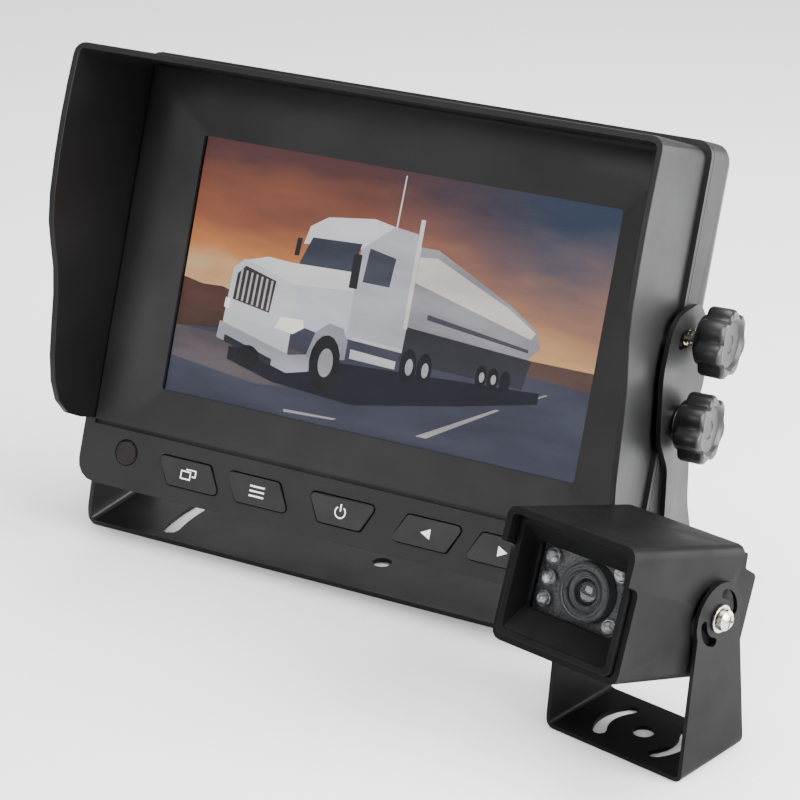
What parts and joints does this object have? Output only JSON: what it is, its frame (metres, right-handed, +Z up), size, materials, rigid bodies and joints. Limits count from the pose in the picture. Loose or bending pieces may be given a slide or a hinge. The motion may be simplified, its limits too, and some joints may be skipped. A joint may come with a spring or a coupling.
{
  "type": "backup camera kit",
  "caption": "Dash monitor with a sun hood, push buttons and clamp knobs on a steel bracket, beside a small infrared reversing camera on its own tilting bracket.",
  "frame": {"origin": "under the middle of the kit's bounding box, on the surface both brackets stand on", "axes": "+Z up, the screen and the camera face -Y, +X to the viewer's right"},
  "size_m": [0.2694, 0.1492, 0.171],
  "materials": {
    "bracket_powder_coat": "satin black powder coat",
    "case_plastic": "fine grain",
    "hood_plastic": "fine grain",
    "button_plastic": "smooth satin",
    "knob_plastic": "satin",
    "nickel_plate": "dull nickel",
    "insert_brass": "turned",
    "backlight_plastic": "smooth",
    "clear_glass": "polished",
    "lcd_face": "smooth",
    "circuit_board": "solder mask",
    "black_rubber": "matt",
    "camera_enamel": "satin black"
  },
  "bodies": {
    "bracket": {"monitor_bracket": "bracket_powder_coat"},
    "head": {"front_bezel": "case_plastic", "rear_case": "case_plastic", "sun_hood": "hood_plastic", "screen_glass": "clear_glass", "lcd_panel": "lcd_face", "backlight_tray": "backlight_plastic", "main_board": "circuit_board", "key_board": "circuit_board", "speaker": "black_rubber", "receiver_window": "lcd_face", "input_socket": "black_rubber", "case_screw_1": "nickel_plate", "case_screw_2": "nickel_plate", "case_screw_3": "nickel_plate", "case_screw_4": "nickel_plate", "insert_left_upper": "insert_brass", "insert_left_lower": "insert_brass", "insert_right_upper": "insert_brass", "insert_right_lower": "insert_brass"},
    "camera_stand": {"camera_bracket": "bracket_powder_coat"},
    "camera_head": {"camera_shell": "camera_enamel", "front_frame": "camera_enamel", "window_glass": "clear_glass", "window_seal": "black_rubber", "led_board": "circuit_board", "lens_barrel": "knob_plastic", "lens_glass": "clear_glass", "sensor_board": "circuit_board", "rear_cover": "camera_enamel", "cable_gland": "black_rubber", "cover_screw_1": "nickel_plate", "cover_screw_2": "nickel_plate", "cover_screw_3": "nickel_plate", "cover_screw_4": "nickel_plate", "pivot_screw_left": "nickel_plate", "pivot_screw_right": "nickel_plate", "pivot_washer_left": "nickel_plate", "pivot_washer_right": "nickel_plate"},
    "mode_button_key": {"mode_button": "button_plastic"},
    "menu_button_key": {"menu_button": "button_plastic"},
    "power_button_key": {"power_button": "button_plastic"},
    "left_button_key": {"left_button": "button_plastic"},
    "right_button_key": {"right_button": "button_plastic"},
    "washer_of_left_upper": {"washer_left_upper": "nickel_plate"},
    "knob_of_left_upper": {"knob_left_upper": "knob_plastic", "stud_left_upper": "nickel_plate"},
    "washer_of_left_lower": {"washer_left_lower": "nickel_plate"},
    "knob_of_left_lower": {"knob_left_lower": "knob_plastic", "stud_left_lower": "nickel_plate"},
    "washer_of_right_upper": {"washer_right_upper": "nickel_plate"},
    "knob_of_right_upper": {"knob_right_upper": "knob_plastic", "stud_right_upper": "nickel_plate"},
    "washer_of_right_lower": {"washer_right_lower": "nickel_plate"},
    "knob_of_right_lower": {"knob_right_lower": "knob_plastic", "stud_right_lower": "nickel_plate"}
  },
  "joints": [
    {"name": "head_tilt", "type": "hinge", "parent": "bracket", "child": "head", "pos_m": [-0.01643, 0.031, 0.0755], "axis": [-1, 0, 0], "range_deg": [-20, 14]},
    {"name": "mode_button_press", "type": "slide", "parent": "head", "child": "mode_button_key", "axis": [0, 0.9348, -0.3551], "range_m": [0, 0.0008], "stiffness_N_per_m": 500, "springref_m": -0.0006},
    {"name": "menu_button_press", "type": "slide", "parent": "head", "child": "menu_button_key", "axis": [0, 0.9348, -0.3551], "range_m": [0, 0.0008], "stiffness_N_per_m": 500, "springref_m": -0.0006},
    {"name": "power_button_press", "type": "slide", "parent": "head", "child": "power_button_key", "axis": [0, 0.9348, -0.3551], "range_m": [0, 0.0008], "stiffness_N_per_m": 500, "springref_m": -0.0006},
    {"name": "left_button_press", "type": "slide", "parent": "head", "child": "left_button_key", "axis": [0, 0.9348, -0.3551], "range_m": [0, 0.0008], "stiffness_N_per_m": 500, "springref_m": -0.0006},
    {"name": "right_button_press", "type": "slide", "parent": "head", "child": "right_button_key", "axis": [0, 0.9348, -0.3551], "range_m": [0, 0.0008], "stiffness_N_per_m": 500, "springref_m": -0.0006},
    {"name": "clamp_left_upper_out", "type": "slide", "parent": "head", "child": "washer_of_left_upper", "axis": [-1, 0, 0], "range_m": [-0.0014, 0.0004]},
    {"name": "knob_left_upper_turn", "type": "hinge", "parent": "washer_of_left_upper", "child": "knob_of_left_upper", "pos_m": [-0.12263, 0.04048, 0.10046], "axis": [-1, 0, 0], "range_deg": [-630, 180]},
    {"name": "clamp_left_lower_out", "type": "slide", "parent": "head", "child": "washer_of_left_lower", "axis": [-1, 0, 0], "range_m": [0, 0.0016]},
    {"name": "knob_left_lower_turn", "type": "hinge", "parent": "washer_of_left_lower", "child": "knob_of_left_lower", "pos_m": [-0.12263, 0.031, 0.0755], "axis": [-1, 0, 0], "range_deg": [0, 720]},
    {"name": "clamp_right_upper_out", "type": "slide", "parent": "head", "child": "washer_of_right_upper", "axis": [1, 0, 0], "range_m": [-0.0014, 0.0004]},
    {"name": "knob_right_upper_turn", "type": "hinge", "parent": "washer_of_right_upper", "child": "knob_of_right_upper", "pos_m": [0.08977, 0.04048, 0.10046], "axis": [1, 0, 0], "range_deg": [-630, 180]},
    {"name": "clamp_right_lower_out", "type": "slide", "parent": "head", "child": "washer_of_right_lower", "axis": [1, 0, 0], "range_m": [0, 0.0016]},
    {"name": "knob_right_lower_turn", "type": "hinge", "parent": "washer_of_right_lower", "child": "knob_of_right_lower", "pos_m": [0.08977, 0.031, 0.0755], "axis": [1, 0, 0], "range_deg": [0, 720]},
    {"name": "camera_moves_away", "type": "slide", "parent": "bracket", "child": "camera_stand", "axis": [1, 0, 0], "range_m": [0, 0.06]},
    {"name": "camera_tilt", "type": "hinge", "parent": "camera_stand", "child": "camera_head", "pos_m": [0.10637, -0.02615, 0.048], "axis": [-0.9763, 0.2164, 0], "range_deg": [-45, 25]}
  ],
  "couplings": [
    {"joint": "knob_left_upper_turn", "follows": "clamp_left_upper_out", "rad_per_m": 7854},
    {"joint": "knob_left_lower_turn", "follows": "clamp_left_lower_out", "rad_per_m": 7854},
    {"joint": "knob_right_upper_turn", "follows": "clamp_right_upper_out", "rad_per_m": 7854},
    {"joint": "knob_right_lower_turn", "follows": "clamp_right_lower_out", "rad_per_m": 7854}
  ]
}
